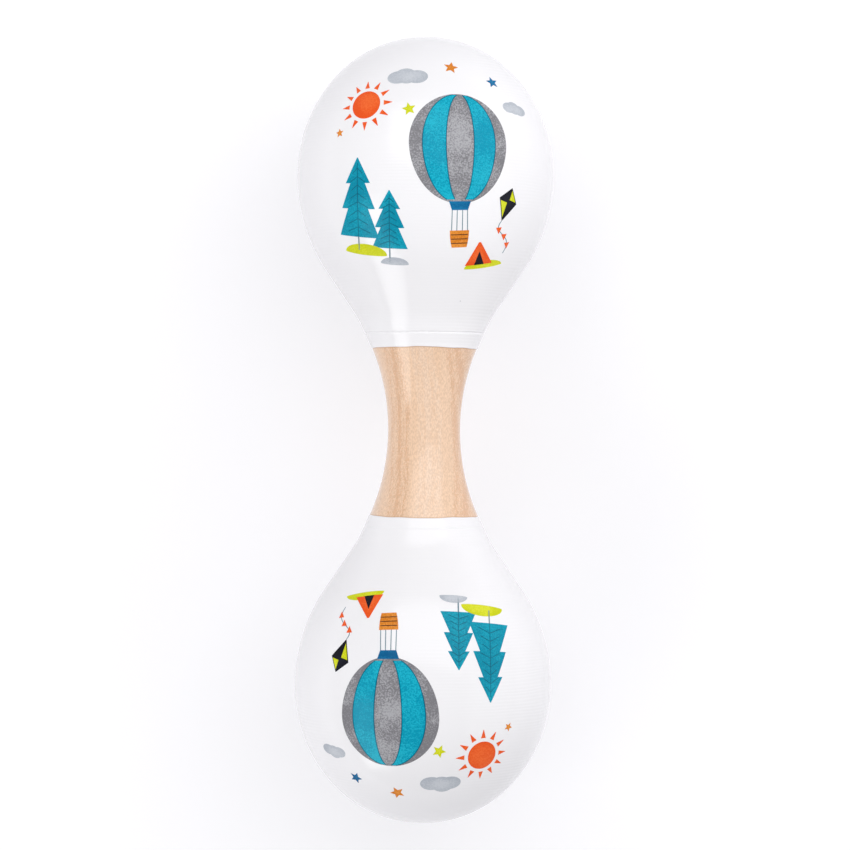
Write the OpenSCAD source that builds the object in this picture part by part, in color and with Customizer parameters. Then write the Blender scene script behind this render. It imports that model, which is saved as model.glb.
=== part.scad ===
// Double maraca: two hollow turned heads glued onto one waisted wooden handle, with loose beads in
// each head. It lies on its side, as it does on a table: the long axis runs along Y, half a head
// diameter above the table, and the origin is on the table under the middle of the handle.
// Outlines are drawn as radius (x) against distance along the axis from the middle of the handle (y).

/* [Whole toy] */
// Length from crown to crown
overall_len = 184.6; // [183:0.2:187]
// Diameter of each head at its widest
head_d = 60; // [59:0.25:61]
// Distance from the middle of the handle to the widest circle of a head
head_y = 60; // [59:0.25:61]

/* [Head shape] */
// Radius of the rounded tip of the crown
tip_r = 28.5; // [28:0.1:29]
// Radius of the swell between the widest circle and the neck
swell_r = 40; // [39:0.5:41]
// Half angle of the cone that leads from the swell down to the collar
neck_angle = 34; // [33.5:0.25:34.5]
// Radius of the hollow curve at the collar, where that cone meets the flare of the handle
collar_r = 20; // [16:1:22]

/* [Handle] */
// Diameter of the handle at its waist
waist_d = 17; // [16.6:0.2:17.8]
// Radius of the hollow curve of the waist
waist_r = 50; // [48:1:52]
// Half angle of the flared ends of the handle
flare_angle = 24; // [23.5:0.25:24.5]
// Distance from the middle to the glued seam between handle and head
seam_y = 22.75; // [22:0.25:23.5]
// Diameter of the tenon that plugs into the head
tenon_d = 16; // [14:0.5:17]
// Length of the tenon
tenon_len = 12; // [9:0.5:12]
// Bevel at the end of the tenon
tenon_bevel = 1; // [0.5:0.1:1.5]
// Bevel on both edges of the seam, which shows as a fine groove
seam_bevel = 0.4; // [0.2:0.1:0.6]

/* [Rattle chamber] */
// Diameter of the round hollow turned into both halves of a head
chamber_d = 52; // [50:0.5:53]
// Height of the lip that centres the crown on the neck cup
lip_h = 3; // [2:0.5:4]
// Glue gap round the tenon and round the lip
glue_gap = 0.1; // [0.05:0.05:0.2]

/* [Beads] */
// Diameter of a rattle bead
bead_d = 6; // [5:0.5:6]
// Spacing of neighbouring beads across the floor of the chamber
bead_pitch = 6.4; // [6.3:0.1:7]
// Clearance between a resting bead and the chamber wall
bead_gap = 0.3; // [0.2:0.1:0.5]

/* [Hidden] */
$fn = 96;
head_r = head_d / 2;
chamber_r = chamber_d / 2;
lip_r = (head_r + chamber_r) / 2;
tenon_r = tenon_d / 2;
tenon_end = seam_y + tenon_len;

// Crown: one arc swells out of the widest circle and a rounder one caps it, tangent to the first.
tip_y = overall_len / 2;
tip_centre_y = tip_y - tip_r;
tip_rise = tip_centre_y - head_y;
crown_r = (head_r * head_r + tip_rise * tip_rise - tip_r * tip_r) / (2 * (head_r - tip_r));
cap_y = tip_centre_y + tip_r * tip_rise / (crown_r - tip_r);

// Neck: the swell ends where its slope is that of the cone.
cone_x = head_r - swell_r + swell_r * cos(neck_angle);
cone_y = head_y - swell_r * sin(neck_angle);

// Handle: the hollow of the waist ends where its slope is that of the flare.
waist_centre_x = waist_d / 2 + waist_r;
flare_x = waist_centre_x - waist_r * cos(flare_angle);
flare_y = waist_r * sin(flare_angle);
seam_x = flare_x + (seam_y - flare_y) * tan(flare_angle);
bevel_run = seam_bevel * tan(flare_angle);

// Collar: flare and cone would cross at a corner, and a hollow curve tangent to both rounds it.
flare_at_0 = flare_x - flare_y * tan(flare_angle);
cone_at_0 = cone_x - cone_y * tan(neck_angle);
corner_y = (flare_at_0 - cone_at_0) / (tan(neck_angle) - tan(flare_angle));
corner = [flare_at_0 + corner_y * tan(flare_angle), corner_y];
collar_run = collar_r * tan((neck_angle - flare_angle) / 2);
collar_low = corner - collar_run * [sin(flare_angle), cos(flare_angle)];
collar_high = corner + collar_run * [sin(neck_angle), cos(neck_angle)];
collar_centre = collar_low + collar_r * [cos(flare_angle), -sin(flare_angle)];

// Beads: three staggered rows rest on the chamber floor, each bead under a clear lane of its own.
BEADS_IN_ROW = [3, 4, 3];
row_pitch = bead_pitch * sin(60);
BEAD_SPOTS = [
  for (row = [0 : len(BEADS_IN_ROW) - 1])
    for (i = [0 : BEADS_IN_ROW[row] - 1])
      [
        (i - (BEADS_IN_ROW[row] - 1) / 2) * bead_pitch,
        (row - (len(BEADS_IN_ROW) - 1) / 2) * row_pitch
      ]
];
bead_reach = chamber_r - bead_d / 2 - bead_gap;

ENDS = ["front", "rear"];
LAST_BEAD = len(BEAD_SPOTS) - 1;
function side(end) = end == "front" ? -1 : 1;
function bead_name(end, i) = str(end, "_bead_", i < 9 ? "0" : "", i + 1);

// Turns an outline into a solid that lies along Y, on the side of the given end.
module turned(end) {
  translate([0, 0, head_r])
    rotate([-90 * side(end), 0, 0])
      rotate_extrude()
        children();
}

module disc(centre, r) {
  translate(centre)
    circle(r);
}

// The part of an outline that lies outside the axis and between two distances along it.
module between(low, high) {
  intersection() {
    children();
    translate([0, low])
      square([overall_len, high - low]);
  }
}

// Crown half of a head, solid to the axis.
module crown_outline() {
  between(head_y, cap_y)
    disc([head_r - crown_r, head_y], crown_r);
  between(cap_y, tip_y)
    disc([0, tip_centre_y], tip_r);
}

// Neck half of a head, solid to the axis, from the seam to the widest circle.
module neck_outline() {
  between(cone_y, head_y)
    disc([head_r - swell_r, head_y], swell_r);
  difference() {
    polygon([
      [0, seam_y],
      [seam_x - seam_bevel, seam_y],
      [seam_x + bevel_run, seam_y + seam_bevel],
      collar_low,
      collar_high,
      [cone_x, cone_y],
      [0, cone_y]
    ]);
    between(collar_low[1], collar_high[1])
      disc(collar_centre, collar_r);
  }
}

// Handle with both tenons: one side from the tenon's end to the waist, then the same mirrored.
module handle_outline() {
  half = [
    [0, tenon_end],
    [tenon_r - tenon_bevel, tenon_end],
    [tenon_r, tenon_end - tenon_bevel],
    [tenon_r, seam_y],
    [seam_x - seam_bevel, seam_y],
    [seam_x - bevel_run, seam_y - seam_bevel],
    [flare_x, flare_y]
  ];
  difference() {
    polygon([
      each half,
      for (i = [len(half) - 1 : -1 : 0]) [half[i][0], -half[i][1]]
    ]);
    between(-flare_y, flare_y)
      disc([waist_centre_x, 0], waist_r);
  }
}

// Waisted handle with a tenon at each end, turned from one piece of wood.
module handle() {
  color("burlywood")
    turned("rear")
      handle_outline();
}

// Outer half of a head: a deep bowl that sits over the lip of the neck cup.
module crown(end) {
  color("white")
    turned(end)
      difference() {
        crown_outline();
        disc([0, head_y], chamber_r);
        between(head_y - glue_gap, head_y + lip_h + glue_gap)
          square([lip_r + glue_gap, overall_len]);
      }
}

// Inner half of a head: a funnel bored for the tenon, with a lip that centres the crown.
module neck_cup(end) {
  color("white")
    turned(end)
      difference() {
        union() {
          neck_outline();
          between(head_y - lip_h, head_y + lip_h)
            square([lip_r, overall_len]);
        }
        disc([0, head_y], chamber_r);
        between(seam_y - glue_gap, head_y)
          square([tenon_r + glue_gap, overall_len]);
      }
}

// One loose bead on the floor of a chamber.
module bead(end, spot) {
  drop = sqrt(bead_reach * bead_reach - spot * spot);
  color("wheat")
    translate([spot[0], side(end) * (head_y + spot[1]), head_r - drop])
      sphere(d = bead_d);
}

handle();
for (end = ENDS) {
  crown(end);
  neck_cup(end);
  for (i = [0 : LAST_BEAD])
    bead(end, BEAD_SPOTS[i]);
}
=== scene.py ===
# %% [markdown]
# # A double maraca, from bare solids to a painted toy
# The packed model holds every solid of the toy at its real size: a waisted handle, four shells that
# make two hollow heads, and the loose beads. This lesson gives them their looks: wood, lacquer, a
# print in several inks and a bright table top. The solids are loaded first, because every piece
# below takes its place from them.

# %% Load the frame
import math

import bpy
import numpy as np
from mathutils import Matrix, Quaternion, Vector


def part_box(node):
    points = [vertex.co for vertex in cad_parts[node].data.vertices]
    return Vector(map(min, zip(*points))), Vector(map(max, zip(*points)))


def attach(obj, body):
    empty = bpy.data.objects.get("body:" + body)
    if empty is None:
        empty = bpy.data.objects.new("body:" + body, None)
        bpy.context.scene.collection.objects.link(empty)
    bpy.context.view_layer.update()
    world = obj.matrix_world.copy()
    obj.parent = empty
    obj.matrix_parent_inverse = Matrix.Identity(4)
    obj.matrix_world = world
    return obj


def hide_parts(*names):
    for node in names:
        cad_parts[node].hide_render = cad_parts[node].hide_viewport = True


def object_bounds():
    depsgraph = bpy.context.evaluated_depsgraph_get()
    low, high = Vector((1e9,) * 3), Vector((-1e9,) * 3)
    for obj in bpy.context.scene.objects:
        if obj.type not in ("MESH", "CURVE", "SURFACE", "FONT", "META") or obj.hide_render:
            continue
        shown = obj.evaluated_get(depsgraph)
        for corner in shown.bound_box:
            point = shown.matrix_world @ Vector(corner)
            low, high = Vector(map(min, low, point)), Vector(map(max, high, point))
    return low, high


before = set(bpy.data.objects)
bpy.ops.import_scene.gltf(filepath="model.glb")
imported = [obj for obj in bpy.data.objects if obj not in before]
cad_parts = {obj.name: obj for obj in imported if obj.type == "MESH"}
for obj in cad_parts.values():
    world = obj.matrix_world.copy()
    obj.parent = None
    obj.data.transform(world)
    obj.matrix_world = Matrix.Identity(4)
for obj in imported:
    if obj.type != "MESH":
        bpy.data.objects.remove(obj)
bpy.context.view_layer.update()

MILLI = 0.001

# %% [markdown]
# ## One outline for the whole toy
# A turner cuts the toy with one outline: a hollow waist, a straight flare, a hollow collar, a
# straight cone, a swell, and a crown of two arcs. The outline could be a list of measured points,
# but arcs and lines that run smoothly into each other need only a few sizes and have no bumps. The
# large sizes are read from the solids, and the arcs' radii are the ones they were turned with.

# %% Sizes of the outline
crown_low, crown_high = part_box("rear_crown")
HEAD_R = crown_high.x
HEAD_Y = crown_low.y
TIP_Y = crown_high.y
AXIS_Z = (crown_low.z + crown_high.z) / 2
SEAM_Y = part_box("rear_neck_cup")[0].y
TENON_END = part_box("handle")[1].y
TIP_R = 28.5 * MILLI
SWELL_R = 40 * MILLI
COLLAR_R = 20 * MILLI
WAIST_HALF = 8.5 * MILLI
WAIST_R = 50 * MILLI
NECK_ANGLE = math.radians(34)
FLARE_ANGLE = math.radians(24)
sizes = {"head radius": HEAD_R, "widest at": HEAD_Y, "tip at": TIP_Y, "seam at": SEAM_Y}
print("in mm:", {name: round(size / MILLI, 2) for name, size in sizes.items()})

# %% Where the arcs and lines meet
neck_slope = math.tan(NECK_ANGLE)
flare_slope = math.tan(FLARE_ANGLE)
tip_centre = TIP_Y - TIP_R
tip_rise = tip_centre - HEAD_Y
crown_r = (HEAD_R**2 + tip_rise**2 - TIP_R**2) / (2 * (HEAD_R - TIP_R))
cap_y = tip_centre + TIP_R * tip_rise / (crown_r - TIP_R)
cone_y = HEAD_Y - SWELL_R * math.sin(NECK_ANGLE)
cone_at_0 = HEAD_R - SWELL_R * (1 - math.cos(NECK_ANGLE)) - cone_y * neck_slope
flare_y = WAIST_R * math.sin(FLARE_ANGLE)
flare_at_0 = WAIST_HALF + WAIST_R * (1 - math.cos(FLARE_ANGLE)) - flare_y * flare_slope
corner_y = (flare_at_0 - cone_at_0) / (neck_slope - flare_slope)
collar_run = COLLAR_R * math.tan((NECK_ANGLE - FLARE_ANGLE) / 2)
collar_low = corner_y - collar_run * math.cos(FLARE_ANGLE)
collar_high = corner_y + collar_run * math.cos(NECK_ANGLE)
collar_centre = (
    flare_at_0 + collar_low * flare_slope + COLLAR_R * math.cos(FLARE_ANGLE),
    collar_low - COLLAR_R * math.sin(FLARE_ANGLE),
)
joins = [flare_y, collar_low, collar_high, cone_y, HEAD_Y, cap_y]
print("arcs and lines meet in mm at", [round(y / MILLI, 2) for y in joins])


# %% Radius of the wood
def wood_radius(y):
    """Radius of the wood at distance y from the middle. A line's radius is its slope times y plus
    its start, and an arc's is its centre's radius plus or minus the root of R squared less the
    square of the distance from the centre."""
    y = np.abs(y)

    def arc(centre_r, centre_y, r, sign):
        return centre_r + sign * np.sqrt(np.maximum(r**2 - (y - centre_y) ** 2, 0))

    stretches = [
        arc(WAIST_HALF + WAIST_R, 0, WAIST_R, -1),
        flare_at_0 + y * flare_slope,
        arc(*collar_centre, COLLAR_R, -1),
        cone_at_0 + y * neck_slope,
        arc(HEAD_R - SWELL_R, HEAD_Y, SWELL_R, 1),
        arc(HEAD_R - crown_r, HEAD_Y, crown_r, 1),
    ]
    return np.select([y < join for join in joins], stretches, arc(0, tip_centre, TIP_R, 1))


print("radius in mm at waist, seam, widest:", wood_radius(np.array([0, SEAM_Y, HEAD_Y])) / MILLI)

# %% [markdown]
# ## One way to make every mesh
# Handle, lacquer, inks and beads are all alike in one respect: each is a stack of closed rings that
# starts and ends in a point. A lathe tool could make some of them and a curve could make others, but
# one small function that joins rings with quads and closes both ends makes them all. It works out
# the enclosed volume and turns the faces round if they point inwards.

# %% Faces between rings
def stack_faces(rows, columns):
    """Quads between neighbouring rings and a fan of triangles at each end, as two index arrays. The
    first and the last row are single points."""
    index = 1 + np.arange((rows - 2) * columns).reshape(rows - 2, columns)
    ahead = np.roll(index, -1, axis=1)
    quads = np.stack([index[:-1], ahead[:-1], ahead[1:], index[1:]], axis=-1).reshape(-1, 4)
    start = np.stack([np.zeros(columns, int), ahead[0], index[0]], axis=-1)
    end = np.stack([np.full(columns, index[-1, -1] + 1), index[-1], ahead[-1]], axis=-1)
    return quads, np.concatenate([start, end])


def volume(points, triangles):
    """A sixth of the sum of a . (b x c) over all triangles a, b, c."""
    a, b, c = (points[triangles[:, i]] for i in range(3))
    return np.einsum("ij,ij->", a, np.cross(b, c)) / 6


print("quads and triangles of three rings of four:", [len(faces) for faces in stack_faces(5, 4)])

# %% Rings to a mesh
SHARP_EDGE = math.radians(35)


def skin(name, stacks):
    """Mesh object of one or more stacks, each an array of (rings, points round a ring, xyz) whose
    first and last rings are single points. The attribute "along" runs from 0 to 1 over the rings."""
    points, faces, along = [], [], []
    base = 0
    for rings in stacks:
        rows, columns = rings.shape[:2]
        spots = np.concatenate([rings[:1, 0], rings[1:-1].reshape(-1, 3), rings[-1:, 0]])
        quads, fans = stack_faces(rows, columns)
        middle = spots - spots.mean(axis=0)
        if volume(middle, np.concatenate([quads[:, :3], quads[:, [0, 2, 3]], fans])) < 0:
            quads, fans = quads[:, ::-1], fans[:, ::-1]
        faces += (quads + base).tolist() + (fans + base).tolist()
        points.append(spots)
        row_of = np.concatenate([[0], np.repeat(np.arange(1, rows - 1), columns), [rows - 1]])
        along.append(row_of / (rows - 1))
        base += len(spots)
    mesh = bpy.data.meshes.new(name)
    mesh.from_pydata(np.concatenate(points).tolist(), [], faces)
    mesh.attributes.new("along", "FLOAT", "POINT").data.foreach_set("value", np.concatenate(along))
    mesh.shade_smooth()
    mesh.set_sharp_from_angle(angle=SHARP_EDGE)
    made = bpy.data.objects.new(name, mesh)
    bpy.context.scene.collection.objects.link(made)
    return made


print("edges are sharp from", round(math.degrees(SHARP_EDGE)), "degrees")

# %% A finished piece
BODY = "maraca"


def add_piece(name, stacks, finish, body=BODY, stands_for=()):
    """A finished piece: its mesh, its material and the body it rides on. The solids it stands for
    are hidden.
    """
    made = skin(name, stacks)
    made.data.materials.append(finish)
    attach(made, body)
    if stands_for:
        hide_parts(*stands_for)
    print(name, "faces:", len(made.data.polygons))


print("every piece but the beads rides on", BODY)

# %% [markdown]
# ## Shader maths as plain sums
# Wood grain and speckled ink are sums of waves and noises. Wired by hand they make large node trees
# that are hard to read, so one small class wraps a node's output and lets Python's own signs add the
# Math nodes. Every other node comes from its one method, which sets the settings and then the inputs.

# %% Wires
# A Mix node has sockets for numbers, vectors and colours. These are the places of the colour ones.
MIX_LOW = 6
MIX_HIGH = 7
MIX_RESULT = 2


class Wire:
    """An output of a shader node that can be added, subtracted, multiplied and divided."""

    def __init__(self, tree, socket=None):
        self.tree = tree
        self.socket = socket

    def node(self, kind, settings, inputs, output=0):
        """Adds a node, makes its settings, then gives each input its value or its wire."""
        made = self.tree.nodes.new(kind)
        for name, value in settings.items():
            setattr(made, name, value)
        for name, value in inputs.items():
            if isinstance(value, Wire):
                self.tree.links.new(value.socket, made.inputs[name])
            else:
                made.inputs[name].default_value = value
        return Wire(self.tree, made.outputs[output])

    def math(self, operation, first, second=0.0):
        """A Math node with one or two inputs."""
        return self.node("ShaderNodeMath", {"operation": operation}, {0: first, 1: second})

    def __add__(self, other):
        return self.math("ADD", self, other)

    def __sub__(self, other):
        return self.math("SUBTRACT", self, other)

    def __rsub__(self, other):
        return self.math("SUBTRACT", other, self)

    def __mul__(self, other):
        return self.math("MULTIPLY", self, other)

    def __truediv__(self, other):
        return self.math("DIVIDE", self, other)

    __radd__ = __add__
    __rmul__ = __mul__

    def sine(self):
        """Sine of an angle in radians."""
        return self.math("SINE", self)

    def root(self):
        """Square root."""
        return self.math("SQRT", self)

    def size(self):
        """The wire without its sign."""
        return self.math("ABSOLUTE", self)

    def centred(self):
        """A noise that runs from 0 to 1, moved to run from minus a half to a half."""
        return self - 0.5

    def parts(self):
        """The x, y and z of a vector wire."""
        return [self.node("ShaderNodeSeparateXYZ", {}, {0: self}, axis) for axis in "XYZ"]

    def stretched(self, across=1.0, along=1.0):
        """A place with x and z times one number and y, along the toy, times another. A pattern read
        there is drawn out in the direction whose number is small."""
        inputs = {0: self, 1: (across, along, across)}
        return self.node("ShaderNodeVectorMath", {"operation": "MULTIPLY"}, inputs)

    def noise(self, per_metre, detail=2.0, rough=0.5):
        """Cloudy noise from 0 to 1 over a place, with this many clouds to a metre."""
        inputs = {"Vector": self, "Scale": per_metre, "Detail": detail, "Roughness": rough}
        return self.node("ShaderNodeTexNoise", {}, inputs)

    def step(self, low, high):
        """Rises smoothly from 0 at low to 1 at high, or falls where high is below low."""
        inputs = {"Value": self, "From Min": low, "From Max": high}
        return self.node("ShaderNodeMapRange", {"interpolation_type": "SMOOTHSTEP"}, inputs)

    def tint(self, low, high):
        """A colour that goes from low to high as this wire goes from 0 to 1."""
        inputs = {0: self, MIX_LOW: low, MIX_HIGH: high}
        return self.node("ShaderNodeMix", {"data_type": "RGBA"}, inputs, MIX_RESULT)


print("a wire can do:", [name for name in vars(Wire) if not name.startswith("__")])


# %% Colours and finishes
def paint(red, green, blue):
    """A colour given as it looks on a screen, 0 to 255, in the straight light that shaders use: a
    straight line for the darkest shades, and a power of the shade above them."""
    toe, toe_slope, offset, power = 0.04045, 12.92, 0.055, 2.4
    screen = np.array([red, green, blue]) / 255
    light = np.where(screen <= toe, screen / toe_slope, ((screen + offset) / (1 + offset)) ** power)
    return (*light.tolist(), 1.0)


def socket_name(word):
    """The shader's own name of a socket: coat_weight becomes Coat Weight, and ior becomes IOR."""
    return word.replace("_", " ").title().replace("Ior", "IOR")


def new_finish(name, **constants):
    """An empty material, its shader with the numbers that are the same all over, and a wire of the
    place on the piece in metres."""
    material = bpy.data.materials.new(name)
    material.use_nodes = True
    shader = material.node_tree.nodes["Principled BSDF"]
    for word, value in constants.items():
        shader.inputs[socket_name(word)].default_value = value
    place = Wire(material.node_tree).node("ShaderNodeTexCoord", {}, {}, "Object")
    return material, shader, place


def feed(shader, **wires):
    """Links wires to the shader's sockets, with a Bump node before Normal for a height in metres."""
    for word, wire in wires.items():
        if word == "height":
            wire = wire.node("ShaderNodeBump", {}, {"Height": wire, "Distance": 1.0})
            word = "normal"
        wire.tree.links.new(wire.socket, shader.inputs[socket_name(word)])


print("a screen grey of 128 is", round(paint(128, 128, 128)[0], 3), "in straight light")

# %% [markdown]
# ## Where the paint ends
# The lacquer runs a few millimetres past each seam onto the handle, and the dipped edge wanders a
# little round the wood. The edge could be a straight cut, but a hand-dipped one never is. A few sine
# waves of the angle give it, and both the lacquer's mesh and the wood's finish use the same waves.

# %% Paint edges
ENDS = {"front": -1, "rear": 1}
PAINT_EDGE = {"front": 20.25 * MILLI, "rear": 19.2 * MILLI}
EDGE_TURN = {"front": 0.0, "rear": 1.9}
# Waves once round the axis, height of a wave, and where it starts.
EDGE_WAVES = [
    (1, 0.12 * MILLI, 0.6),
    (3, 0.10 * MILLI, 2.2),
    (7, 0.05 * MILLI, 0.9),
    (13, 0.03 * MILLI, 4.0),
]


def paint_edge(end, angle, sine=np.sin):
    """Distance of the paint edge from the middle: its mean plus a few sine waves of the angle round
    the axis. It takes numbers, or wires with their own sine."""
    angle = angle + EDGE_TURN[end]
    waves = [height * sine(count * angle + start) for count, height, start in EDGE_WAVES]
    return PAINT_EDGE[end] + sum(waves)


print("edge wanders by up to", round(sum(height for _, height, _ in EDGE_WAVES) / MILLI, 2), "mm")

# %% [markdown]
# ## The wood of the handle
# The handle is a pale, close-grained hardwood under a thin clear coat: soft wide bands of tone, faint
# yearly rings, short fibres and fine dots. A picture of wood would do on a plank, but on a turning
# the grain has to run through the solid. So bands and rings are shells about a pith that lies beside
# the handle and leans a little, bent by slow noise, and fibres, dots and pores are noise drawn out
# A narrow line of painted shade darkens the wood where the lacquer meets it.

# %% Growth rings
FULL_TURN = 2 * math.pi
PITH_X = -25 * MILLI
PITH_Z = AXIS_Z + 2.4 * MILLI
PITH_LEAN = -0.043
BAND_PITCH = 14.3 * MILLI
BAND_START = 16 * MILLI
BAND_BEND = 0.16
YEAR_PITCH = 2.1 * MILLI
YEAR_BEND = 1.1
YEAR_DEPTH = 0.25
BENDS_PER_METRE = 110


def ring_wave(place):
    """Sine of the distance from the leaning pith over the pitch of the wide bands, 1 where the wood is
    darkest and -1 where it is palest, plus a weaker sine over the pitch of the yearly rings. Slow
    noise bends both."""
    x, y, z = place.parts()
    across = x - PITH_X - y * PITH_LEAN
    up = z - PITH_Z
    distance = (across * across + up * up).root()
    bend = place.stretched(along=0.3).noise(BENDS_PER_METRE, detail=3.0).centred()
    bands = (distance - BAND_START) / BAND_PITCH + bend * BAND_BEND
    years = distance / YEAR_PITCH + bend * YEAR_BEND
    return (bands * FULL_TURN).sine() + (years * FULL_TURN).sine() * YEAR_DEPTH


for kind, pitch in (("bands", BAND_PITCH), ("yearly rings", YEAR_PITCH)):
    print(kind, "across the waist:", round(2 * WAIST_HALF / pitch, 1))

# %% Painted shade beside the paint
# Colour and width of the painted shade on the wood at the foot of each paint edge.
EDGE_SHADE = paint(196, 152, 120)
EDGE_SHADE_WIDTH = 0.3 * MILLI


def edge_shade(place):
    """Painted shade at the foot of the lacquer: 1 on the wood right beside a paint edge, falling to 0
    within the width of the line.
    """
    x, y, z = place.parts()
    angle = x.math("ARCTAN2", x, z - AXIS_Z)
    gaps = [paint_edge(end, angle, Wire.sine) - y * side for end, side in ENDS.items()]
    front, rear = (gap.step(EDGE_SHADE_WIDTH, 0.0) for gap in gaps)
    return front + rear


print("the darker line is", EDGE_SHADE_WIDTH / MILLI, "mm wide")

# %% Pale wood
WOOD_LIGHT = paint(242, 212, 187)
WOOD_MID = paint(240, 204, 172)
WOOD_DARK = paint(226, 180, 143)
WOOD_PORE = paint(198, 162, 134)
FIBRES_PER_METRE = 2600
DOTS_PER_METRE = 3600
CLOUDS_PER_METRE = 75
FIBRE_SHARE = 2.5
DOT_SHARE = 2.1
CLOUD_SHARE = 0.8
DARK_FROM_TO = (0.35, 1.35)
LIGHT_FROM_TO = (0.1, 1.5)
PORE_FROM_TO = (0.66, 0.34)
PORE_DEPTH = 0.4
GRAIN_RELIEF = 0.006 * MILLI
WOOD_ROUGH = 0.34
PORE_ROUGH = 0.2


def wood_finish(name, painted_ends, clear_coat):
    """Pale wood: rings, fibres, dots and clouds of tone mix three colours, pores darken some spots,
    and fibres less pores give a slight relief."""
    shine = {"specular_ior_level": 0.25, "coat_weight": clear_coat, "coat_roughness": 0.1}
    material, shader, place = new_finish(name, **shine)
    fibre = place.stretched(along=0.06).noise(FIBRES_PER_METRE, detail=3.0)
    pores = place.stretched(along=0.4).noise(DOTS_PER_METRE).step(*PORE_FROM_TO)
    dots = place.stretched(along=0.8).noise(DOTS_PER_METRE, detail=1.0)
    cloud = place.stretched(along=0.45).noise(CLOUDS_PER_METRE)
    rings = ring_wave(place)
    grain = fibre.centred() * FIBRE_SHARE + dots.centred() * DOT_SHARE + cloud.centred() * CLOUD_SHARE
    light = (grain - rings).step(*LIGHT_FROM_TO).tint(WOOD_MID, WOOD_LIGHT)
    colour = (rings + grain).step(*DARK_FROM_TO).tint(light, WOOD_DARK)
    colour = (pores * PORE_DEPTH).tint(colour, WOOD_PORE)
    # Painted shade: the wood is darkened in a narrow line along the foot of each paint edge.
    if painted_ends:
        colour = edge_shade(place).tint(colour, EDGE_SHADE)
    relief = (fibre - pores) * GRAIN_RELIEF
    feed(shader, base_color=colour, roughness=WOOD_ROUGH + pores * PORE_ROUGH, height=relief)
    return material


pale_wood = wood_finish("pale_turned_wood", painted_ends=True, clear_coat=0.9)
raw_wood = wood_finish("raw_inner_wood", painted_ends=False, clear_coat=0.0)
print("finishes:", pale_wood.name, raw_wood.name)

# %% [markdown]
# ## The turned handle
# The handle is one turning with a tenon at each end that plugs into the heads. The solid could stay
# as it is, but it is made of loose flat triangles, and a coat of varnish would show every one. A
# fine turned surface on the same outline takes its place, with the bevels at the seam kept.

# %% Turned surfaces
ROUND = 192


def turned(y, r, angle):
    """Points of a turned surface: radius r at distance y, with the angle measured from straight up."""
    y, r, angle = np.broadcast_arrays(y, r, angle)
    return np.stack([r * np.sin(angle), y, AXIS_Z + r * np.cos(angle)], axis=-1)


def round_angles(count):
    """Angles once round the axis, without the repeated last one, as one row."""
    return np.linspace(0, FULL_TURN, count, endpoint=False)[None, :]


print("top of the waist in mm:", turned(0, wood_radius(0), 0) / MILLI)

# %% Handle
TENON_R = 8 * MILLI
TENON_BEVEL = 1 * MILLI
SEAM_BEVEL = 0.4 * MILLI
HANDLE_ROWS = 241

shoulder_y = SEAM_Y - SEAM_BEVEL
tenon_outline = np.array([
    [TENON_END, 0],
    [TENON_END, TENON_R - TENON_BEVEL],
    [TENON_END - TENON_BEVEL, TENON_R],
    [SEAM_Y, TENON_R],
    [SEAM_Y, wood_radius(SEAM_Y) - SEAM_BEVEL],
])
waist_y = np.linspace(shoulder_y, -shoulder_y, HANDLE_ROWS)
handle_y = np.concatenate([tenon_outline[:, 0], waist_y, -tenon_outline[::-1, 0]])
handle_r = np.concatenate([tenon_outline[:, 1], wood_radius(waist_y), tenon_outline[::-1, 1]])
handle_rings = turned(handle_y[:, None], handle_r[:, None], round_angles(ROUND))
add_piece("turned_handle", [handle_rings], pale_wood, stands_for=["handle"])

# %% [markdown]
# ## White lacquer
# The heads are coated in glossy white. Looked at closely the coat is not perfect: the turning rings
# show through in the highlights, the skin has a faint orange peel, and a few specks of dust are
# caught in it. A perfectly smooth white would look like plastic. These are small reliefs and tints in
# the finish, so that the gloss itself comes from the shader and the lights.

# %% Dust
SPECKS_PER_METRE = 110
SPECK_RIM = (0.024, 0.014)
SPECK_CHANCE = (0.78, 0.80)


def dust(place):
    """1 inside a few small round specks: the near part of some cells of a scattered cell pattern."""
    inputs = {"Vector": place, "Scale": SPECKS_PER_METRE}
    nearest = place.node("ShaderNodeTexVoronoi", {}, inputs, "Distance")
    chance = place.node("ShaderNodeTexVoronoi", {}, inputs, "Color").parts()[0]
    return nearest.step(*SPECK_RIM) * chance.step(*SPECK_CHANCE)


print("specks up to", round(2 * SPECK_RIM[0] / SPECKS_PER_METRE / MILLI, 2), "mm across")

# %% Relief of the gloss
TURNING_PITCH = 0.75 * MILLI
TURNING_DEPTH = 0.005 * MILLI
TURNING_DRIFT = 9.0
DRIFTS_PER_METRE = 260
PATCHES_PER_METRE = 60
PATCH_FROM_TO = (0.34, 0.6)
PEEL_PER_METRE = 420
PEEL_DEPTH = 0.008 * MILLI


def gloss_relief(place):
    """Height in metres: turning rings, a sine of the distance along the axis that comes and goes in
    patches, over the slow swell of orange peel."""
    y = place.parts()[1]
    patches = place.stretched(across=0.4).noise(PATCHES_PER_METRE).step(*PATCH_FROM_TO)
    drift = place.stretched(across=0.15).noise(DRIFTS_PER_METRE)
    turning = (y * (FULL_TURN / TURNING_PITCH) + drift * TURNING_DRIFT).sine() * patches
    return turning * TURNING_DEPTH + place.noise(PEEL_PER_METRE) * PEEL_DEPTH


print("turning rings to a head:", round((TIP_Y - SEAM_Y) / TURNING_PITCH))

# %% Lacquer finish
LACQUER = paint(244, 243, 246)
SPECK = paint(190, 190, 196)
SPECK_STRENGTH = 0.75


def lacquer_finish():
    """Glossy white with specks of dust and the relief of the turning under it."""
    material, shader, place = new_finish("white_gloss_lacquer", roughness=0.16, ior=1.5)
    colour = (dust(place) * SPECK_STRENGTH).tint(LACQUER, SPECK)
    feed(shader, base_color=colour, height=gloss_relief(place))
    return material


white_lacquer = lacquer_finish()
print("finish:", white_lacquer.name)

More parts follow.
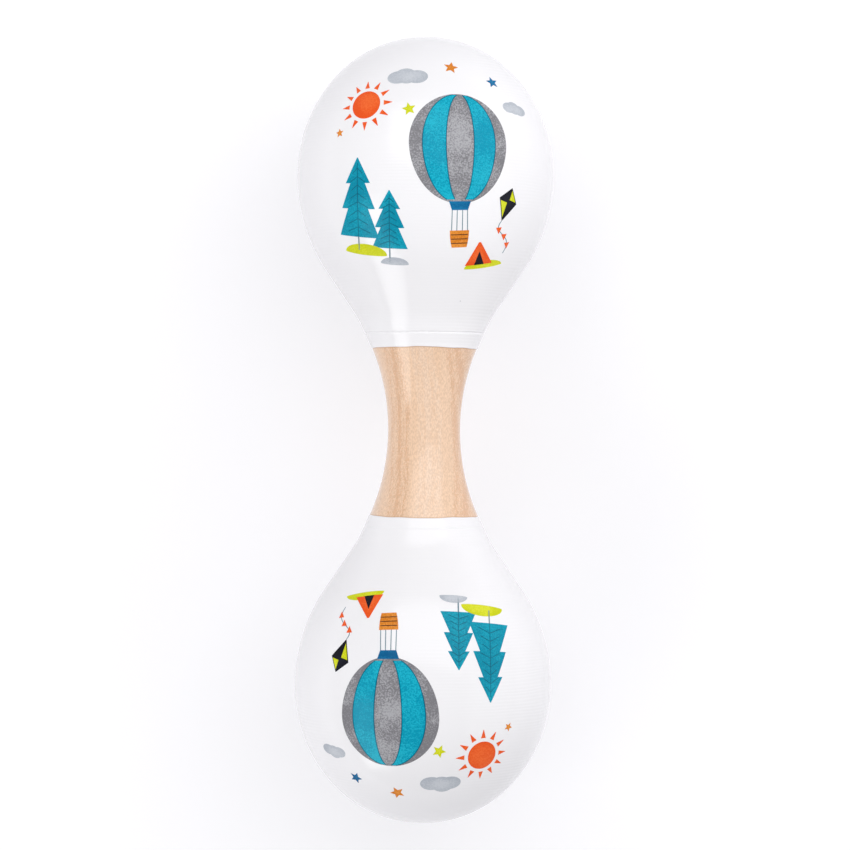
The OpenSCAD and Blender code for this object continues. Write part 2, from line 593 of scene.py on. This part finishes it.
# %% [markdown]
# ## A coat with a real thickness
# Paint is a skin about a tenth of a millimetre thick. It could be only a colour on the shells, but
# then its edge on the handle and the sunken line over the glued seam would be drawn, not shaped. The
# coat is one closed skin per head: it starts in a soft bead at the paint edge, dips into the seam,
# covers both shells and closes at the tip, then comes back along its inner side.

# %% Height of the coat
COAT = 0.10 * MILLI
EDGE_BEAD = 0.07 * MILLI
EDGE_ROUND = 0.22 * MILLI
SEAM_DIP = {"front": 0.06 * MILLI, "rear": 0.18 * MILLI}
SEAM_WIDTH = 0.17 * MILLI


def coat_lift(end, y, from_edge):
    """Height of the coat over the wood: a quarter circle and a bead at the edge, a dip in the shape
    of a bell curve at the seam, and an even coat elsewhere."""
    rounding = np.sqrt(1 - (1 - np.clip(from_edge / EDGE_ROUND, 0, 1)) ** 2)
    bead = EDGE_BEAD * np.exp(-(((from_edge - EDGE_ROUND) / (2 * EDGE_ROUND)) ** 2))
    dip = SEAM_DIP[end] * np.exp(-(((y - SEAM_Y) / SEAM_WIDTH) ** 2))
    return (COAT + bead) * rounding - dip


for end in ENDS:
    bead_height = coat_lift(end, PAINT_EDGE[end], EDGE_ROUND)
    print(end, "coat in mm on its bead:", round(bead_height / MILLI, 2))


# %% Outline walked by length
def walk(y_start, count=4001):
    """The outline from a distance to the tip, as distance, radius and length walked. The distances
    follow a quarter sine, so they crowd together where the outline turns in to the axis."""
    y = y_start + (TIP_Y - y_start) * np.sin(np.linspace(0, math.pi / 2, count))
    r = wood_radius(y)
    return y, r, np.concatenate([[0], np.cumsum(np.hypot(np.diff(y), np.diff(r)))])


def raised(y, r, length, rows, lift):
    """Points of the outline at given lengths, moved out by lift along the normal, which is the
    direction of the walk turned a quarter."""
    out_y, out_r = -np.gradient(r, length), np.gradient(y, length)
    at = [np.interp(rows, length, values) for values in (y, r, out_y, out_r)]
    return at[0] + lift * at[2], np.maximum(at[1] + lift * at[3], 0)


print("walk from seam to tip:", round(walk(SEAM_Y)[2][-1] / MILLI, 1), "mm")

# %% Coats of the two heads
COAT_SKIN = 0.08 * MILLI
WANDER_FADE = 1.8 * MILLI
FINE_REACH = 5 * MILLI
FINE_ROWS = 76
FINE_CROWDING = 1.3
WIDE_ROWS = 150


def coat_rings(end):
    """Rings of one coat, from the tip down its outer side to the paint edge and back up inside. Near
    the edge every ring follows the wander of the edge."""
    y, r, length = walk(PAINT_EDGE[end])
    fine = np.linspace(0, 1, FINE_ROWS) ** FINE_CROWDING * FINE_REACH
    rows = np.concatenate([fine, np.linspace(FINE_REACH, length[-1], WIDE_ROWS)[1:]])
    lift = coat_lift(end, np.interp(rows, length, y), rows)
    angle = round_angles(ROUND)
    wander = paint_edge(end, angle) - PAINT_EDGE[end]
    shift = np.clip(1 - rows / WANDER_FADE, 0, 1)[:, None] * wander

    def side(height):
        side_y, side_r = raised(y, r, length, rows, height)
        side_r[-1] = 0
        along = ENDS[end] * (side_y[:, None] + shift)
        return turned(along, side_r[:, None] + shift * flare_slope, angle)

    return np.concatenate([side(lift)[::-1], side(lift - COAT_SKIN)])


for end in ENDS:
    add_piece(f"{end}_lacquer", [coat_rings(end)], white_lacquer)

# %% [markdown]
# ## The print: flat shapes first
# The upper side of each head carries a printed picture. A picture file could be wrapped round the
# head, but shapes stay sharp at any size and each ink can be a film of its own, as a printer lays
# it. Two kinds of flat shape draw everything: a fill, whose spokes run from a centre to an edge
# curve, and a ribbon, a path with a width. Sizes here are millimetres on the paper, with the head's
# top at zero, u to the right and v towards the crown.

# %% Fills
INK_STEP = 0.02
INK_SINK = 0.01


def with_height(flat, height):
    """Flat points with a third number, their height over the lacquer in millimetres."""
    return np.concatenate([flat, np.broadcast_to(height, flat.shape[:-1] + (1,))], axis=-1)


def fill(centre, edge, level=0, rows=10):
    """Filled shape: every ring is the edge drawn in towards the centre, first at ink height from the
    centre out, then on the underside from the edge back."""
    reach = np.linspace(0, 1, rows)[:, None, None]
    flat = centre + reach * (edge - np.array(centre))
    top = with_height(flat, INK_STEP * (level + 1))
    return np.concatenate([top, with_height(flat[::-1], -INK_SINK)])


print("each layer of ink stands", INK_STEP, "mm higher")


# %% Ribbons
def ribbon(path, half_width, level=0, across=3, cross=None):
    """Band along a path: each ring runs over the top from side to side and back underneath. The side
    direction is the path's own normal, unless one direction is given."""
    if cross is None:
        along = np.gradient(path, axis=0)
        normal = np.stack([-along[:, 1], along[:, 0]], axis=-1)
    else:
        normal = np.full_like(path, cross)
    normal = normal / np.linalg.norm(normal, axis=-1, keepdims=True)
    half_width = np.broadcast_to(half_width, len(path))[:, None, None]
    flat = path[:, None] + np.linspace(-1, 1, across)[:, None] * half_width * normal[:, None]
    top = with_height(flat, INK_STEP * (level + 1))
    rings = np.concatenate([top, with_height(flat[:, ::-1], -INK_SINK)], axis=1)
    tips = np.broadcast_to(rings[[0, -1]].mean(axis=1, keepdims=True), (2, 2 * across, 3))
    return np.concatenate([tips[:1], rings, tips[1:]])


def line(start, end, count=12):
    """Points evenly spaced on a straight line."""
    return np.linspace(start, end, count)


print("rings and points of a straight ribbon:", ribbon(line((0, 0), (0, 1)), 0.1).shape[:2])


# %% Curves for edges and paths
def bent(*points, count):
    """A smooth curve pulled by its points: a Bezier curve, the sum of each point times its Bernstein
    weight, C(n, k) t^k (1 - t)^(n - k)."""
    t = np.linspace(0, 1, count)[:, None]
    n = len(points) - 1
    return sum(math.comb(n, k) * t**k * (1 - t) ** (n - k) * np.array(p) for k, p in enumerate(points))


def polar(centre, radius_of, count=96, squash=1.0):
    """A closed edge round a centre, with the radius given as a function of the angle."""
    angle = np.linspace(0, FULL_TURN, count, endpoint=False)
    radius = radius_of(angle)[:, None]
    return np.array(centre) + radius * np.stack([np.cos(angle), squash * np.sin(angle)], axis=-1)


def polygon(corners, per_side=8):
    """A closed edge of straight sides: each corner moved by shares of the way to the next."""
    corners = np.array(corners, float)[:, None]
    share = np.linspace(0, 1, per_side, endpoint=False)[None, :, None]
    return (corners * (1 - share) + np.roll(corners, -1, axis=0) * share).reshape(-1, 2)


print("points on the edge of a triangle:", len(polygon([(0, 0), (1, 0), (0, 1)])))

# %% [markdown]
# ## The print: a day out
# The picture is a generic one for a nursery: a balloon over a small camp, with firs, a tent, a kite,
# the sun, clouds and stars. Each motif is a short function or a few lines that hand their shapes to
# the inks they are printed in, and a level says which shapes lie over others.

# %% Balloon
INKS = {}


def print_in(ink, *shapes):
    """Adds flat shapes to the list of an ink."""
    INKS.setdefault(ink, []).extend(shapes)


BALLOON_U = 8.0
BALLOON_V = 5.5
BALLOON_R = 11.8
BALLOON_DROP = 0.2
BALLOON_POINT = 2.4


def balloon_radius(angle):
    """Round above, drawn down to a blunt point below: the radius grows with a power of the sine."""
    return BALLOON_R * (1 + BALLOON_DROP * np.clip(-np.sin(angle), 0, 1) ** BALLOON_POINT)


balloon = np.array([BALLOON_U, BALLOON_V])
mouth_v = BALLOON_V - (1 + BALLOON_DROP) * BALLOON_R
print_in("grey", fill(balloon, polar(balloon, balloon_radius, count=128), rows=22))
print("balloon from", round(mouth_v, 1), "to", BALLOON_V + BALLOON_R, "mm")

# %% Gores of the balloon
GORES = [-0.74, -0.28, 0.28, 0.74]
GORE_LINE = 0.11
MOUTH_GAP = 0.9
TOP_GAP = 0.25
SIDEWAYS = (1, 0)
EDGE_STEPS = 181


def balloon_half_width(v):
    """Half the balloon's width at a height, read off the right half of its edge."""
    angle = np.linspace(-math.pi / 2, math.pi / 2, EDGE_STEPS)
    radius = balloon_radius(angle)
    return np.interp(v, BALLOON_V + radius * np.sin(angle), radius * np.cos(angle))


def gore_path(share, count=48):
    """A line from the mouth to the top at a given share of the half width."""
    v = np.linspace(mouth_v + MOUTH_GAP, BALLOON_V + BALLOON_R - TOP_GAP, count)
    return np.stack([BALLOON_U + share * balloon_half_width(v), v], axis=-1)


for left, right in (GORES[:2], GORES[2:]):
    middle = gore_path((left + right) / 2)
    half = (right - left) / 2 * balloon_half_width(middle[:, 1])
    print_in("turquoise", ribbon(middle, half, level=1, across=9, cross=SIDEWAYS))
for share in GORES:
    print_in("deep_teal", ribbon(gore_path(share), GORE_LINE, level=2))
print("gore lines:", len(INKS["deep_teal"]))

# %% Basket and ropes
SKIRT_V = (0.5, -1.5)
SKIRT_HALF = (2.6, 1.9)
ROPES = (-1, -0.35, 0.35, 1)
ROPE_TOP = -1.4
ROPE_SPREAD = (1.8, 1.9)
ROPE_LINE = 0.1
BASKET_V = mouth_v - 6.2
BASKET_H = 4.0
BASKET_HALF = 2.3
BASKET_TAPER = 0.5
WEAVES = 3
WEAVE_HALF = 2.0
WEAVE_LINE = 0.08

skirt = line((BALLOON_U, mouth_v + SKIRT_V[0]), (BALLOON_U, mouth_v + SKIRT_V[1]))
print_in("petrol", ribbon(skirt, np.linspace(*SKIRT_HALF, len(skirt)), level=1, across=5))
for share in ROPES:
    rope_top = (BALLOON_U + ROPE_SPREAD[0] * share, mouth_v + ROPE_TOP)
    rope_foot = (BALLOON_U + ROPE_SPREAD[1] * share, BASKET_V)
    print_in("line", ribbon(line(rope_top, rope_foot), ROPE_LINE))
basket = line((BALLOON_U, BASKET_V), (BALLOON_U, BASKET_V - BASKET_H))
basket_half = BASKET_HALF - BASKET_TAPER * np.linspace(0, 1, len(basket)) ** 2
print_in("amber", ribbon(basket, basket_half, across=5))
for v in np.linspace(BASKET_V, BASKET_V - BASKET_H, WEAVES + 2)[1:-1]:
    weave = line((BALLOON_U - WEAVE_HALF, v), (BALLOON_U + WEAVE_HALF, v))
    print_in("navy", ribbon(weave, WEAVE_LINE, level=1))
print("basket ends at", round(BASKET_V - BASKET_H, 1), "mm")

# %% Firs
# Start and end of each tier up the trunk, and the share of the half width there.
FIR_TIERS = [(0, 0.36, 1, 0.5), (0.361, 0.68, 0.82, 0.36), (0.681, 1, 0.6, 0.02)]
TIER_POINTS = 10
TRUNK_FOOT = 3.2
TRUNK_IN = 0.2
TRUNK_LINE = 0.16
STEM_SHARE = 0.93
STEM_LINE = 0.09
BRANCHES = np.linspace(0.06, 0.8, 8)
BRANCH_RISE = 0.07
BRANCH_SHARE = 0.62
BRANCH_LINE = 0.08


def fir(foot, height, half):
    """A fir of three tiers: a ribbon up the trunk whose half width is a saw of three falling teeth,
    with a darker stem and paired branches."""
    foot = np.array(foot)
    up = np.concatenate([np.linspace(low, high, TIER_POINTS) for low, high, _, _ in FIR_TIERS])
    wide = np.concatenate([np.linspace(broad, slim, TIER_POINTS) for _, _, broad, slim in FIR_TIERS])
    crown = foot + np.outer(up, [0, height])
    trunk = line(foot - [0, TRUNK_FOOT], foot + [0, TRUNK_IN])
    stem = line(foot, foot + [0, STEM_SHARE * height])
    print_in("teal", ribbon(crown, half * wide, across=7, cross=SIDEWAYS))
    print_in("line", ribbon(trunk, TRUNK_LINE))
    print_in("deep_teal", ribbon(stem, STEM_LINE, level=1))
    for share in BRANCHES:
        reach = BRANCH_SHARE * half * np.interp(share, up, wide)
        fork = foot + [0, (share + BRANCH_RISE) * height]
        for side in (-1, 1):
            branch = line(fork, foot + [side * reach, share * height], count=6)
            print_in("deep_teal", ribbon(branch, BRANCH_LINE, level=1))


fir(foot=(-16.2, -17.0), height=19.0, half=5.4)
fir(foot=(-8.3, -19.2), height=13.5, half=4.3)
print("firs:", len(INKS["teal"]))

# %% Ground and tent
MOUND_FOOT = 0.16
MOUND_POINTS = 72
TENT = np.array([13.2, -23.5])
TENT_MIDDLE = (0, 2.0)
TENT_CORNERS = [(-3.6, 0), (3.6, 0), (0.25, 5.6), (-0.25, 5.6)]
DOOR_MIDDLE = (0, 0.9)
DOOR_CORNERS = [(-1.3, 0), (1.3, 0), (0, 3.4)]


def mound(ink, centre, half, height):
    """A low hill: the upper half of an ellipse on a nearly flat foot."""
    circle = polar((0, 0), np.ones_like, MOUND_POINTS)
    tall = np.where(circle[:, 1] > 0, height, MOUND_FOOT * height)
    edge = np.array(centre) + circle * np.stack([np.full(MOUND_POINTS, half), tall], axis=-1)
    print_in(ink, fill(centre, edge, rows=8))


mound("lime", centre=(-14.6, -21.0), half=5.6, height=2.4)
mound("light_grey", centre=(-7.2, -22.9), half=3.4, height=1.6)
mound("lime", centre=(14.6, -24.3), half=5.2, height=1.7)
print_in("orange", fill(TENT + TENT_MIDDLE, polygon(TENT + TENT_CORNERS), level=1))
print_in("navy", fill(TENT + DOOR_MIDDLE, polygon(TENT + DOOR_CORNERS), level=2, rows=6))
print("tent", TENT_CORNERS[1][0] - TENT_CORNERS[0][0], "mm wide")

# %% Sun
SUN = np.array([-14.6, 15.2])
SUN_R = 3.7
RAYS = 12
RAY_FROM = 4.6
RAY_TO = 6.7
RAY_HALF = (0.62, 0.05)
RAY_POINTS = 8

print_in("orange", fill(SUN, polar(SUN, lambda angle: np.full_like(angle, SUN_R), count=64)))
for turn in np.linspace(0, FULL_TURN, RAYS, endpoint=False):
    way = np.array([math.cos(turn), math.sin(turn)])
    ray = line(SUN + RAY_FROM * way, SUN + RAY_TO * way, RAY_POINTS)
    print_in("orange", ribbon(ray, np.linspace(*RAY_HALF, RAY_POINTS)))
print("sun with", RAYS, "rays")

# %% Clouds
CLOUD_DISCS = [((-1.5, -0.15), 1.75), ((1.6, -0.2), 1.8), ((-0.3, 0.55), 1.7), ((0.0, -0.5), 1.5)]
CLOUD_SQUASH = 0.72


def cloud(ink, centre, scale):
    """A cloud: for every direction the farthest rim of four discs that all cover the centre. The rim
    of a disc at c with radius R lies at c.d plus the root of R squared less c squared plus c.d
    squared."""

    def rim(angle):
        ways = np.stack([np.cos(angle), np.sin(angle)], axis=-1)
        dots = [ways @ np.array(c) for c, _ in CLOUD_DISCS]
        rims = [dot + np.sqrt(r**2 - np.dot(c, c) + dot**2) for dot, (c, r) in zip(dots, CLOUD_DISCS)]
        return scale * np.max(rims, axis=0)

    print_in(ink, fill(centre, polar(centre, rim, squash=CLOUD_SQUASH)))


cloud("light_grey", centre=(-4.6, 22.2), scale=1.5)
cloud("light_grey", centre=(23.3, 16.0), scale=1.15)
print("light grey shapes:", len(INKS["light_grey"]))

# %% Stars
STAR_CORNERS = 10
STAR_INNER = 0.46


def star(ink, centre, radius, turn):
    """Five points: the edge swings between an outer and an inner radius in straight lines."""
    corner = np.arange(STAR_CORNERS)
    angle = turn + math.pi / 2 + corner * FULL_TURN / STAR_CORNERS
    swing = np.where(corner % 2 == 0, radius, STAR_INNER * radius)
    corners = np.array(centre) + swing[:, None] * np.stack([np.cos(angle), np.sin(angle)], axis=-1)
    print_in(ink, fill(centre, polygon(corners, per_side=5), rows=5))


star("lime", centre=(-3.9, 13.2), radius=1.7, turn=0.2)
star("amber", centre=(6.2, 25.2), radius=1.9, turn=-0.15)
star("petrol", centre=(17.2, 22.6), radius=1.8, turn=0.3)
star("amber", centre=(-21.6, 8.6), radius=1.2, turn=0.1)
print("shapes so far:", sum(len(shapes) for shapes in INKS.values()))

# %% Kite
KITE = np.array([20.6, -8.2])
KITE_ACROSS = np.array([0.94, -0.34])
KITE_UP = np.array([0.34, 0.94])
KITE_HALF = 2.7
KITE_TOP = 3.4
KITE_BOTTOM = 5.2
PATCH_SHARE = 0.72
TAIL_PULLS = [(15.6, -16.4), (23.6, -16.6), (19.8, -21.4)]
TAIL_LINE = 0.1
PENNANT = [(-0.8, 0.5), (0.8, 0.5), (0, -1.1)]
TAIL_POINTS = 40
PENNANT_SPOTS = (10, 21, 32)

side = KITE_HALF * KITE_ACROSS
right, left = KITE + side, KITE - side
top, bottom = KITE + KITE_TOP * KITE_UP, KITE - KITE_BOTTOM * KITE_UP
print_in("navy", fill(KITE, polygon([right, top, left, bottom], per_side=10), rows=8))
for first, second in ((right, top), (left, bottom)):
    patch = np.array([KITE, first, second])
    middle = patch.mean(axis=0)
    patch = middle + PATCH_SHARE * (patch - middle)
    print_in("lime", fill(patch.mean(axis=0), polygon(patch), level=1, rows=5))
tail = bent(bottom, *TAIL_PULLS, count=TAIL_POINTS)
print_in("line", ribbon(tail, TAIL_LINE))
for knot in tail[list(PENNANT_SPOTS)]:
    print_in("orange", fill(knot, polygon(knot + PENNANT, per_side=6), level=1, rows=4))
print("inks:", {ink: len(shapes) for ink, shapes in INKS.items()})

# %% [markdown]
# ## The print: laid on the heads
# A flat picture has to stretch to lie on a round head. Rolled on like paper it would bunch up near
# the crown, so each point is walked from the head's top: as far as it is from the middle of the
# picture, in the same direction. The lower head has the same picture turned half round, so that the
# ground is towards the handle on both.

# %% Wrapping
outline = walk(SEAM_Y)
over_y, over_r = raised(*outline, outline[2], COAT)
head_tilt = np.arctan2(over_r, over_y - HEAD_Y)[::-1]
head_reach = np.hypot(over_r, over_y - HEAD_Y)[::-1]


def lay(flat, end):
    """Puts flat shapes on a head. A point at distance d from the middle goes d over the head's radius
    in radians away from straight up, then out to the lacquer and up by its height."""
    flat = flat * MILLI
    arc = np.hypot(flat[..., 0], flat[..., 1]) / HEAD_R
    spread = np.sinc(arc / math.pi) / HEAD_R
    x, y, z = flat[..., 0] * spread, flat[..., 1] * spread, np.cos(arc)
    out = np.interp(np.arccos(y), head_tilt, head_reach) + flat[..., 2]
    side = ENDS[end]
    return np.stack([side * x * out, side * (HEAD_Y + y * out), AXIS_Z + z * out], axis=-1)


nearest, farthest = head_reach.min() / MILLI, head_reach.max() / MILLI
print("lacquer lies", round(nearest, 1), "to", round(farthest, 1), "mm from the head's middle")

# %% [markdown]
# ## Inks
# The large shapes are printed with a grainy stamp look: speckled, a little darker towards the rim,
# and lighter where the ink ran thin. Flat colours would look like stickers. Each ink mixes a deep
# and a pale tone by fine noise, by slow noise and by how far inside its shape a point lies.

# %% Ink finishes
# Deep tone, pale tone, and how strongly the grain mixes them.
INK_TONES = {
    "grey": ((126, 125, 130), (174, 174, 179), 0.8),
    "light_grey": ((178, 184, 194), (204, 208, 215), 0.35),
    "turquoise": ((0, 149, 179), (28, 181, 205), 0.9),
    "teal": ((0, 138, 166), (16, 164, 189), 0.8),
    "deep_teal": ((0, 98, 122), (8, 116, 140), 0.3),
    "orange": ((236, 84, 28), (246, 112, 52), 0.5),
    "lime": ((204, 210, 14), (226, 230, 60), 0.5),
    "navy": ((12, 12, 22), (28, 30, 44), 0.3),
    "amber": ((214, 124, 32), (236, 152, 66), 0.7),
    "petrol": ((4, 92, 142), (24, 118, 168), 0.5),
    "line": ((98, 126, 140), (122, 148, 160), 0.2),
}
SPECKLES_PER_METRE = 2700
SPECKLE_FROM_TO = (0.3, 0.72)
THINS_PER_METRE = 150
THIN_FROM_TO = (0.3, 0.7)
THIN_SHARE = 0.55
INSIDE_REACH = 0.45
INSIDE_SHARE = 0.35


def ink_finish(ink):
    """An ink film under the clear top coat. Its two tones are mixed by grain, by slow thinning, and
    by the distance of "along" from a half, which is the rim of a fill."""
    deep, pale, grain = INK_TONES[ink]
    material, shader, place = new_finish(f"{ink}_ink", roughness=0.2, specular_ior_level=0.1)
    along = place.node("ShaderNodeAttribute", {"attribute_name": "along"}, {}, "Fac")
    speckle = place.noise(SPECKLES_PER_METRE, detail=1.0, rough=0.7).step(*SPECKLE_FROM_TO).centred()
    thin = place.noise(THINS_PER_METRE).step(*THIN_FROM_TO)
    inside = along.centred().size().step(0.0, INSIDE_REACH)
    tone = (thin * THIN_SHARE + inside * INSIDE_SHARE + speckle * grain).step(0.0, 1.0)
    feed(shader, base_color=tone.tint(paint(*deep), paint(*pale)), height=gloss_relief(place))
    return material


for ink, shapes in INKS.items():
    stacks = [lay(shape, end) for end in ENDS for shape in shapes]
    add_piece(f"print_{ink}", stacks, ink_finish(ink))

# %% [markdown]
# ## Inside: shells and beads
# The shells stay as they are, because the coat hides them, and get the same wood without the painted
# shade at the paint edge. The beads are small tumbled balls. Plain spheres would do for a rattle that
# nobody opens, but tumbling leaves a bead a little lumpy, so slow waves take a hair off each one.

# %% Shells
HALVES = ("crown", "neck_cup")
for end in ENDS:
    for half in HALVES:
        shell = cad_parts[f"{end}_{half}"].data
        shell.materials.clear()
        shell.materials.append(raw_wood)
print("raw wood on", len(HALVES) * len(ENDS), "shells")

# %% Bead wood
BEAD_DARK = paint(196, 148, 100)
BEAD_LIGHT = paint(228, 188, 142)
BEAD_FIBRES_PER_METRE = 900
BEAD_FROM_TO = (0.3, 0.7)
BEAD_ROUGH = 0.5
BEAD_FIBRE_ROUGH = 0.2


def bead_finish():
    """Matt wood, warmer than the handle, with fine fibres."""
    material, shader, place = new_finish("tumbled_bead_wood", ior=1.45)
    fibre = place.stretched(along=0.2).noise(BEAD_FIBRES_PER_METRE, detail=3.0)
    colour = fibre.step(*BEAD_FROM_TO).tint(BEAD_DARK, BEAD_LIGHT)
    feed(shader, base_color=colour, roughness=BEAD_ROUGH + fibre * BEAD_FIBRE_ROUGH)
    return material


bead_wood = bead_finish()
print("finish:", bead_wood.name)

# %% Beads
BEAD_LUMP = 0.03
BEAD_ROWS = 17
BEAD_ROUND = 28
bead_nodes = sorted(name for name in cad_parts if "_bead_" in name)


def bead_rings(centre, radius, turn):
    """A ball whose radius dips by a few parts in a hundred, as slow waves of both angles."""
    tilt = np.linspace(0, math.pi, BEAD_ROWS)[:, None]
    angle = round_angles(BEAD_ROUND)
    wave = np.sin(2 * angle + turn) * np.sin(tilt) ** 2 + np.cos(3 * tilt + 2 * turn)
    r = radius * (1 - BEAD_LUMP * (2 + wave) / 4)
    out = r * np.sin(tilt)
    return np.array(centre) + np.stack([out * np.cos(angle), out * np.sin(angle), r * np.cos(tilt)], -1)


for number, name in enumerate(bead_nodes):
    bead_low, bead_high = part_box(name)
    rings = bead_rings((bead_low + bead_high) / 2, (bead_high.x - bead_low.x) / 2, float(number))
    add_piece(f"tumbled_{name}", [rings], bead_wood, body=name, stands_for=[name])

# %% [markdown]
# ## White table
# The toy lies on a white table in a bright room. More light would turn the table white and the toy
# with it. So the table's own colour is a pale grey, and it gives off a little plain white that only
# direct views see. The light on the toy can then stay at a level where colours look as they were
# written, and the table still takes a soft shadow.

# %% Table top
TABLE_HALF = 3.0
table_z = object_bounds()[0].z
table_corners = TABLE_HALF * np.array([(-1, -1), (1, -1), (1, 1), (-1, 1)])
table_points = np.column_stack([table_corners, np.full(len(table_corners), table_z)])
table_mesh = bpy.data.meshes.new("table_top")
table_mesh.from_pydata(table_points.tolist(), [], [range(len(table_points))])
table = bpy.data.objects.new("table_top", table_mesh)
bpy.context.scene.collection.objects.link(table)
print("table at", round(table_z / MILLI, 2), "mm")

# %% Table finish
TABLE_COLOUR = paint(190, 189, 194)
TABLE_GLOW = 0.485
FAR_GLOW = 0.5
FADE_FROM_TO = (0.04, 0.4)
FADE_LENGTH = 2.5


def seen_directly(wire):
    """1 for rays that come from the camera, or from it by way of a mirror or glass."""
    names = ("Is Camera Ray", "Is Glossy Ray", "Is Transmission Ray")
    camera, glossy, through = (wire.node("ShaderNodeLightPath", {}, {}, name) for name in names)
    return wire.math("MAXIMUM", camera, wire.math("MAXIMUM", glossy, through))


def table_finish():
    """Pale grey with a hint of lavender, lifted to white for direct rays. The lift grows with the
    distance from the toy, because the far table gets less light from the windows."""
    constants = {"base_color": TABLE_COLOUR, "roughness": 0.6, "emission_strength": 1.0}
    material, shader, place = new_finish("white_table", **constants)
    x, y, _ = place.parts()
    y = y / FADE_LENGTH
    far = (x * x + y * y).root().step(*FADE_FROM_TO)
    feed(shader, emission_color=seen_directly(place) * (far * FAR_GLOW + TABLE_GLOW))
    return material


table_mesh.materials.append(table_finish())
print("finish:", table_mesh.materials[0].name)

# %% [markdown]
# ## Light of the room
# The light is soft and comes from all round: pale walls to the sides, darker ones before and behind,
# and three windows. One even sky would light the toy flat, and small lamps would give hard spots. The
# walls are a world whose brightness depends on the direction, and each window is a large rectangle
# of light, whose mirror image is the highlight on lacquer and wood.

# %% Walls
SIDE_WALLS = 0.94
BACK_WALL = 0.1
NEAR_WALL = 0.21
WHITE = (1, 1, 1, 1)

world = bpy.data.worlds.new("bright_room")
world.use_nodes = True
bpy.context.scene.world = world
room = Wire(world.node_tree)
to_right, to_back, _ = room.node("ShaderNodeTexCoord", {}, {}, "Generated").parts()
sides = to_right.size() * SIDE_WALLS
back = room.math("MAXIMUM", to_back, 0.0) * BACK_WALL
near = room.math("MAXIMUM", to_back * -1.0, 0.0) * NEAR_WALL
walls = sides + back + near
strength = walls + seen_directly(room) * (1 - walls)
sky = room.node("ShaderNodeBackground", {}, {"Color": WHITE, "Strength": strength})
world.node_tree.links.new(sky.socket, world.node_tree.nodes["World Output"].inputs["Surface"])
print("world:", world.name, "with", len(world.node_tree.nodes), "nodes")


# %% Windows
def softbox(name, place, size, radiance, roll=0.0):
    """A rectangular light of a given brightness, aimed at the middle of the toy and rolled about that
    line. Its power is the brightness times pi times its area."""
    lamp = bpy.data.lights.new(name, "AREA")
    lamp.shape = "RECTANGLE"
    lamp.size, lamp.size_y = size
    lamp.energy = radiance * math.pi * size[0] * size[1]
    made = bpy.data.objects.new(name, lamp)
    made.location = place
    made.rotation_mode = "QUATERNION"
    aim = (Vector((0, 0, AXIS_Z)) - made.location).to_track_quat("-Z", "Y")
    made.rotation_quaternion = aim @ Quaternion((0, 0, 1), roll)
    bpy.context.scene.collection.objects.link(made)
    print(name, "power:", round(lamp.energy, 2), "W")


softbox("roof_window", place=(0.05, 0.27, 0.45), size=(0.7, 0.42), radiance=1.6)
softbox("right_window", place=(0.42, 0.05, 0.25), size=(0.9, 0.4), radiance=0.66)
left_roll = math.radians(-32)
softbox("left_window", place=(-0.53, -0.477, 0.393), size=(0.74, 0.36), radiance=2.4, roll=left_roll)

# %% [markdown]
# ## Camera
# The toy is seen from straight above, with its length upright in the picture and turned by a third of
# a degree. A flat view without perspective would come close, but a real lens sees the tops of the
# heads a little larger. So the camera stands at a plain distance, and its lens takes in the width
# of the picture at the height of the toy's axis.

# %% Camera over the table
CAMERA_ABOVE = 0.75
VIEW_WIDTH = 200.24 * MILLI
VIEW_CENTRE = (0.21 * MILLI, 1.16 * MILLI)
VIEW_ROLL = math.radians(0.303)
SENSOR_WIDTH = 36
lens = bpy.data.cameras.new("photo_camera")
lens.sensor_width = SENSOR_WIDTH
lens.lens = SENSOR_WIDTH * CAMERA_ABOVE / VIEW_WIDTH
camera = bpy.data.objects.new("photo_camera", lens)
camera.location = (*VIEW_CENTRE, AXIS_Z + CAMERA_ABOVE)
camera.rotation_euler = (0, 0, VIEW_ROLL)
bpy.context.scene.collection.objects.link(camera)
bpy.context.scene.camera = camera
bpy.context.scene.view_settings.view_transform = "Standard"
print("lens", round(lens.lens, 1), "mm at", CAMERA_ABOVE, "m")

# %% [markdown]
# ## Size of the dressed toy
# The dressed toy is meant to be larger than the solids only by its coat.
